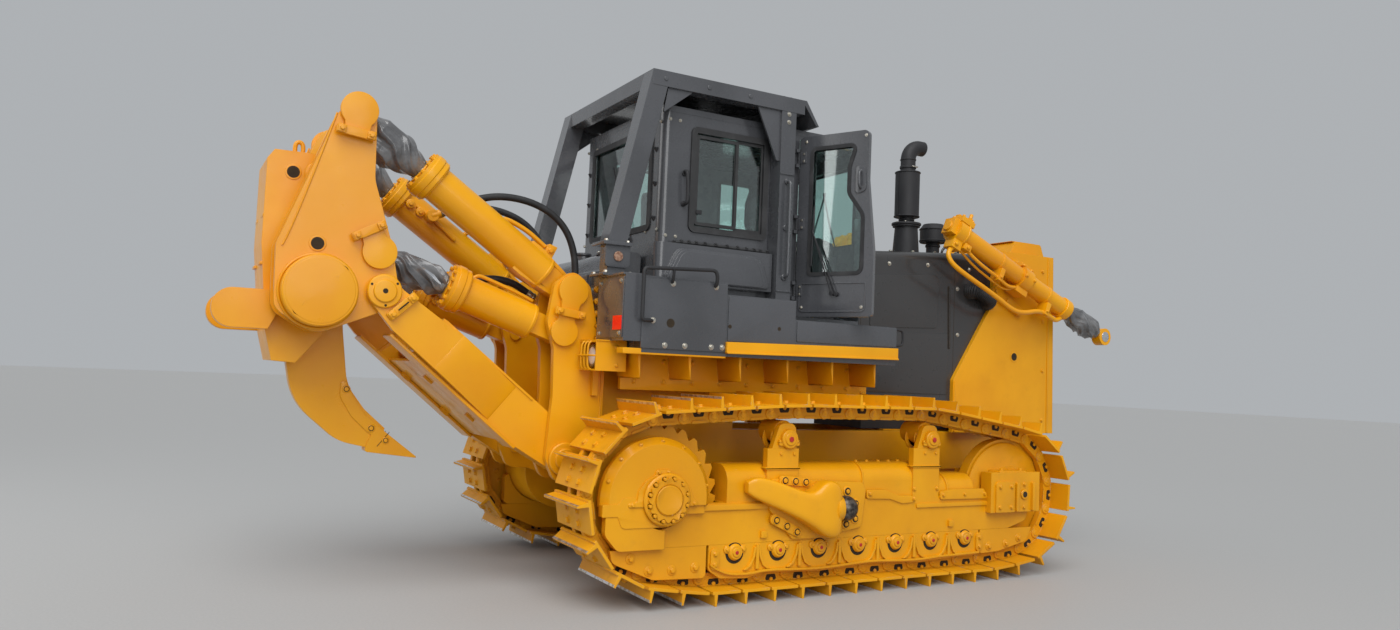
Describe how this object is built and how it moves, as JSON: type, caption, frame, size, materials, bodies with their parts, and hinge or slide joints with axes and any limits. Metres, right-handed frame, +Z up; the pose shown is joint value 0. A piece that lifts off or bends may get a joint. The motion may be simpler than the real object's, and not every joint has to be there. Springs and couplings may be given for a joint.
{
  "type": "crawler bulldozer with ripper, blade removed",
  "caption": "Crawler bulldozer with cab, overhead guard and a raised single-shank rear ripper; blade and push arms taken off.",
  "frame": {"origin": "on the ground under the middle of the machine's overall length, on its centre plane", "axes": "+X to the front where the blade goes, +Y to the machine's left, +Z up"},
  "size_m": [7.4812, 2.88, 3.666],
  "materials": {
    "track_yellow": "satin",
    "undercarriage_yellow": "satin",
    "trunnion_yellow": "satin",
    "frame_yellow": "satin",
    "engine_grey": "satin",
    "hood_charcoal": "satin",
    "guard_yellow": "satin",
    "grille_charcoal": "satin",
    "exhaust_black": "matte",
    "cleaner_yellow": "satin",
    "fender_charcoal": "satin",
    "tank_charcoal": "satin",
    "lamp_yellow": "satin",
    "overhead_charcoal": "satin",
    "cab_charcoal": "satin",
    "cab_glass": "clear",
    "seat_cloth": "woven",
    "cab_plastic": "matte",
    "ripper_yellow": "satin",
    "cylinder_yellow": "satin",
    "rod_chrome": "polished",
    "wrap_cloth": "crumpled",
    "hose_rubber": "satin"
  },
  "bodies": {
    "machine": {"cab_controls": "cab_plastic", "cab_floor": "cab_charcoal", "cab_glass": "cab_glass", "cab_roof": "cab_charcoal", "cab_shell": "cab_charcoal", "carrier_rollers": "undercarriage_yellow", "engine_block": "engine_grey", "equalizer_bar": "frame_yellow", "exhaust_stack": "exhaust_black", "fender_left": "fender_charcoal", "fender_right": "fender_charcoal", "final_drives": "undercarriage_yellow", "hoist_yokes": "guard_yellow", "hood": "hood_charcoal", "hose_fittings": "cylinder_yellow", "idlers": "undercarriage_yellow", "lift_hose_left": "hose_rubber", "lift_hose_right": "hose_rubber", "main_frame": "frame_yellow", "overhead_guard": "overhead_charcoal", "pre_cleaner": "cleaner_yellow", "push_arm_trunnions": "trunnion_yellow", "radiator_grille": "grille_charcoal", "radiator_guard": "guard_yellow", "rear_tank": "tank_charcoal", "ripper_bracket": "ripper_yellow", "roller_guards": "undercarriage_yellow", "seat_cushions": "seat_cloth", "sprockets": "undercarriage_yellow", "tilt_hose_left": "hose_rubber", "tilt_hose_right": "hose_rubber", "track_frame_left": "undercarriage_yellow", "track_frame_right": "undercarriage_yellow", "track_left": "track_yellow", "track_right": "track_yellow", "track_rollers": "undercarriage_yellow", "work_lamps": "lamp_yellow"},
    "door_right": {"door_right": "cab_charcoal", "door_right_glass": "cab_glass"},
    "door_left": {"door_left": "cab_charcoal", "door_left_glass": "cab_glass"},
    "ripper_arm": {"ripper_arm": "ripper_yellow"},
    "ripper_beam": {"ripper_beam": "ripper_yellow", "push_block": "ripper_yellow", "ripper_shank": "ripper_yellow", "shank_tip": "ripper_yellow"},
    "tilt_barrels": {"tilt_barrels": "cylinder_yellow"},
    "tilt_rods": {"tilt_rods": "rod_chrome", "tilt_rod_wraps": "wrap_cloth"},
    "lift_barrels": {"lift_barrels": "cylinder_yellow"},
    "lift_rods": {"lift_rods": "rod_chrome", "lift_rod_wraps": "wrap_cloth"},
    "hoist_barrel_right": {"hoist_barrel_right": "cylinder_yellow"},
    "hoist_rod_right": {"hoist_rod_right": "rod_chrome", "hoist_rod_wrap_right": "wrap_cloth"},
    "hoist_barrel_left": {"hoist_barrel_left": "cylinder_yellow"},
    "hoist_rod_left": {"hoist_rod_left": "rod_chrome", "hoist_rod_wrap_left": "wrap_cloth"}
  },
  "joints": [
    {"name": "ripper_lower", "type": "hinge", "parent": "machine", "child": "ripper_arm", "pos_m": [-1.58063, 0, 0.88], "axis": [0, -1, 0], "range_deg": [0, 45]},
    {"name": "ripper_beam_level", "type": "hinge", "parent": "ripper_arm", "child": "ripper_beam", "pos_m": [-2.81263, 0, 1.912], "axis": [0, -1, 0], "range_deg": [-48.46, 0]},
    {"name": "lift_barrel_swing", "type": "hinge", "parent": "machine", "child": "lift_barrels", "pos_m": [-1.63063, 0, 1.731], "axis": [0, -1, 0], "range_deg": [0, 45.95]},
    {"name": "lift_rod_slide", "type": "slide", "parent": "lift_barrels", "child": "lift_rods", "axis": [-0.9449, 0, 0.3274], "range_m": [0, 0.45543]},
    {"name": "tilt_barrel_swing", "type": "hinge", "parent": "machine", "child": "tilt_barrels", "pos_m": [-1.57663, 0, 2.012], "axis": [0, -1, 0], "range_deg": [0, 39.88]},
    {"name": "tilt_rod_slide", "type": "slide", "parent": "tilt_barrels", "child": "tilt_rods", "axis": [-0.8217, 0, 0.5699], "range_m": [0, 0.01232]},
    {"name": "hoist_swing_right", "type": "hinge", "parent": "machine", "child": "hoist_barrel_right", "pos_m": [2.59537, -0.76, 2.443], "axis": [0, 1, 0], "range_deg": [-8, 30]},
    {"name": "hoist_slide_right", "type": "slide", "parent": "hoist_barrel_right", "child": "hoist_rod_right", "axis": [0.9208, 0, -0.3899], "range_m": [0, 1.1]},
    {"name": "hoist_swing_left", "type": "hinge", "parent": "machine", "child": "hoist_barrel_left", "pos_m": [2.59537, 0.76, 2.443], "axis": [0, 1, 0], "range_deg": [-8, 30]},
    {"name": "hoist_slide_left", "type": "slide", "parent": "hoist_barrel_left", "child": "hoist_rod_left", "axis": [0.9208, 0, -0.3899], "range_m": [0, 1.1]},
    {"name": "door_right_swing", "type": "hinge", "parent": "machine", "child": "door_right", "pos_m": [0.20137, -0.716, 2.64], "axis": [0, 0, 1], "range_deg": [-25, 65]},
    {"name": "door_left_swing", "type": "hinge", "parent": "machine", "child": "door_left", "pos_m": [0.20137, 0.716, 2.64], "axis": [0, 0, 1], "range_deg": [0, 90]}
  ],
  "couplings": [
    {"joint": "ripper_beam_level", "follows": "ripper_lower", "ratio": -1.0763},
    {"joint": "lift_barrel_swing", "follows": "ripper_lower", "ratio": 1.0207},
    {"joint": "lift_rod_slide", "follows": "ripper_lower", "m_per_rad": 0.57958},
    {"joint": "tilt_barrel_swing", "follows": "ripper_lower", "ratio": 0.8858},
    {"joint": "tilt_rod_slide", "follows": "ripper_lower", "m_per_rad": 0.01568}
  ]
}
